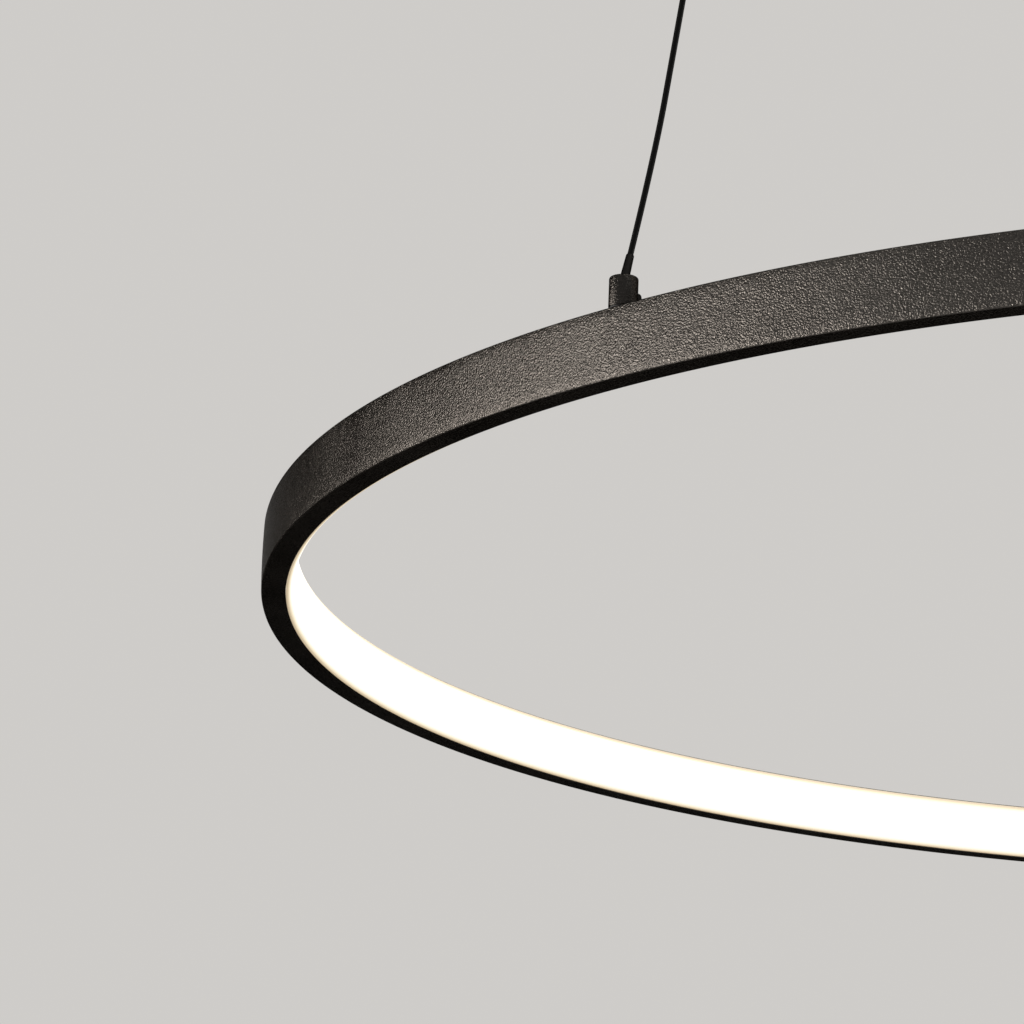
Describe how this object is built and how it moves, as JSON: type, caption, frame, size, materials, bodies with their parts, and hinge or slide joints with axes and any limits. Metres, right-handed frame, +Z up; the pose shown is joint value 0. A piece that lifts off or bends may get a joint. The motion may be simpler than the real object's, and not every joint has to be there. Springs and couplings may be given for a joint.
{
  "type": "led ring chandelier",
  "caption": "Slim ring-shaped LED ceiling pendant hung level under a flat round rose by thin leaning wires, with an opal diffuser along the ring's inner side.",
  "frame": {"origin": "centre of the ceiling rose's top face, in the ceiling's plane", "axes": "+Z up; the lamp hangs towards -Z; -Y points at the first of the wire stations"},
  "size_m": [0.7999, 0.7999, 0.9811],
  "materials": {
    "black_powder_coat": "fine-textured matt powder coat",
    "black_screw": "black oxide, slightly glossy",
    "opal": "opal diffuser, glowing warm white when lit",
    "strip_board": "white solder resist",
    "led_package": "yellow phosphor in a white frame",
    "raw_aluminium": "plain extruded",
    "zinc_steel": "bright zinc plate",
    "spring_steel": "drawn wire",
    "brass": "turned",
    "black_nylon": "moulded",
    "black_ferrule": "black nickel, satin",
    "wire_jacket": "thin smooth black jacket",
    "driver_case": "moulded white case",
    "terminal_plastic": "moulded"
  },
  "bodies": {
    "rose": {"ceiling_plate": "zinc_steel", "rose_cover": "black_powder_coat", "rose_screws": "black_powder_coat", "led_driver": "driver_case", "driver_screws": "zinc_steel", "terminal_block": "terminal_plastic", "terminal_screws": "zinc_steel", "earth_screw": "zinc_steel", "gripper_body_1": "black_powder_coat", "gripper_nut_1": "zinc_steel", "gripper_spring_1": "spring_steel", "gripper_body_2": "black_powder_coat", "gripper_nut_2": "zinc_steel", "gripper_spring_2": "spring_steel", "gripper_body_3": "black_powder_coat", "gripper_nut_3": "zinc_steel", "gripper_spring_3": "spring_steel", "wire_1": "wire_jacket", "wire_2": "wire_jacket", "wire_3": "wire_jacket"},
    "ring": {"ring_profile": "black_powder_coat", "diffuser": "opal", "led_flex": "strip_board", "led_packages": "led_package", "splice_plate": "raw_aluminium", "splice_screws": "zinc_steel", "solder_tag_1": "brass", "solder_tag_2": "brass", "anchor_washer_3": "brass", "anchor_base_1": "brass", "anchor_bush_1": "black_nylon", "anchor_nut_1": "brass", "anchor_cup_1": "black_powder_coat", "cup_screw_1": "black_screw", "anchor_base_2": "brass", "anchor_bush_2": "black_nylon", "anchor_nut_2": "brass", "anchor_cup_2": "black_powder_coat", "cup_screw_2": "black_screw", "anchor_base_3": "brass", "anchor_bush_3": "black_nylon", "anchor_nut_3": "brass", "anchor_cup_3": "black_powder_coat", "cup_screw_3": "black_screw"},
    "wire_end_1": {"wire_end_1": "black_ferrule"},
    "wire_end_2": {"wire_end_2": "black_ferrule"},
    "wire_end_3": {"wire_end_3": "black_ferrule"},
    "plunger_1": {"gripper_plunger_1": "black_powder_coat", "gripper_jaws_1": "brass"},
    "plunger_2": {"gripper_plunger_2": "black_powder_coat", "gripper_jaws_2": "brass"},
    "plunger_3": {"gripper_plunger_3": "black_powder_coat", "gripper_jaws_3": "brass"}
  },
  "joints": [
    {"name": "ring_lift", "type": "slide", "parent": "rose", "child": "ring", "axis": [0, 0, 1], "range_m": [0, 0.3], "deforming": ["wire_1", "wire_2", "wire_3"]},
    {"name": "wire_end_tilt_1", "type": "hinge", "parent": "ring", "child": "wire_end_1", "pos_m": [0, -0.39585, -0.9516], "axis": [-1, 0, 0], "range_deg": [0, 6.9]},
    {"name": "wire_end_tilt_2", "type": "hinge", "parent": "ring", "child": "wire_end_2", "pos_m": [0.34282, 0.19792, -0.9516], "axis": [0.5, -0.866, 0], "range_deg": [0, 6.9]},
    {"name": "wire_end_tilt_3", "type": "hinge", "parent": "ring", "child": "wire_end_3", "pos_m": [-0.34282, 0.19792, -0.9516], "axis": [0.5, 0.866, 0], "range_deg": [0, 6.9]},
    {"name": "gripper_plunger_1", "type": "slide", "parent": "rose", "child": "plunger_1", "axis": [0, 0, 1], "range_m": [0, 0.0025], "stiffness_N_per_m": 300, "springref_m": -0.004, "deforming": ["gripper_spring_1"]},
    {"name": "gripper_plunger_2", "type": "slide", "parent": "rose", "child": "plunger_2", "axis": [0, 0, 1], "range_m": [0, 0.0025], "stiffness_N_per_m": 300, "springref_m": -0.004, "deforming": ["gripper_spring_2"]},
    {"name": "gripper_plunger_3", "type": "slide", "parent": "rose", "child": "plunger_3", "axis": [0, 0, 1], "range_m": [0, 0.0025], "stiffness_N_per_m": 300, "springref_m": -0.004, "deforming": ["gripper_spring_3"]}
  ],
  "couplings": [
    {"joint": "wire_end_tilt_1", "follows": "ring_lift", "rad_per_m": 0.3999},
    {"joint": "wire_end_tilt_2", "follows": "ring_lift", "rad_per_m": 0.3999},
    {"joint": "wire_end_tilt_3", "follows": "ring_lift", "rad_per_m": 0.3999}
  ]
}
